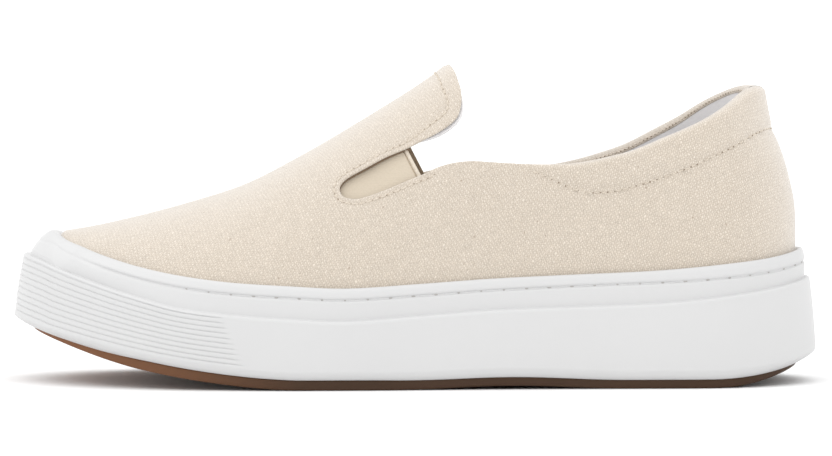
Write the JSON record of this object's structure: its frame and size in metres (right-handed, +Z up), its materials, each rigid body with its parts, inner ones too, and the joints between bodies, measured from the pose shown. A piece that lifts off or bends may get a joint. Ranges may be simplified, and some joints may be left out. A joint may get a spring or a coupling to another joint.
{
  "type": "slip-on sneaker",
  "caption": "Low canvas slip-on shoe with a raised flap over the instep, elastic side gussets, a padded collar and a thick two-tier rubber cupsole with ribs round the toe.",
  "frame": {"origin": "on the floor, under the middle of the shoe's length and width", "axes": "+Z up, the toe towards -X, the heel towards +X, the outer side of the foot towards -Y"},
  "size_m": [0.292, 0.1085, 0.1156],
  "materials": {
    "canvas": "natural off-white plain-weave cotton canvas, matt",
    "white_rubber": "smooth white moulded rubber, satin",
    "gum_rubber": "brown gum rubber, satin",
    "lining": "pale grey-white cotton lining, matt",
    "elastic": "beige woven elastic, smooth and matt"
  },
  "bodies": {
    "root": {"upper": "canvas", "cupsole": "white_rubber", "outsole": "gum_rubber", "insole": "lining", "gore_lateral": "elastic", "gore_medial": "elastic"}
  },
  "joints": []
}
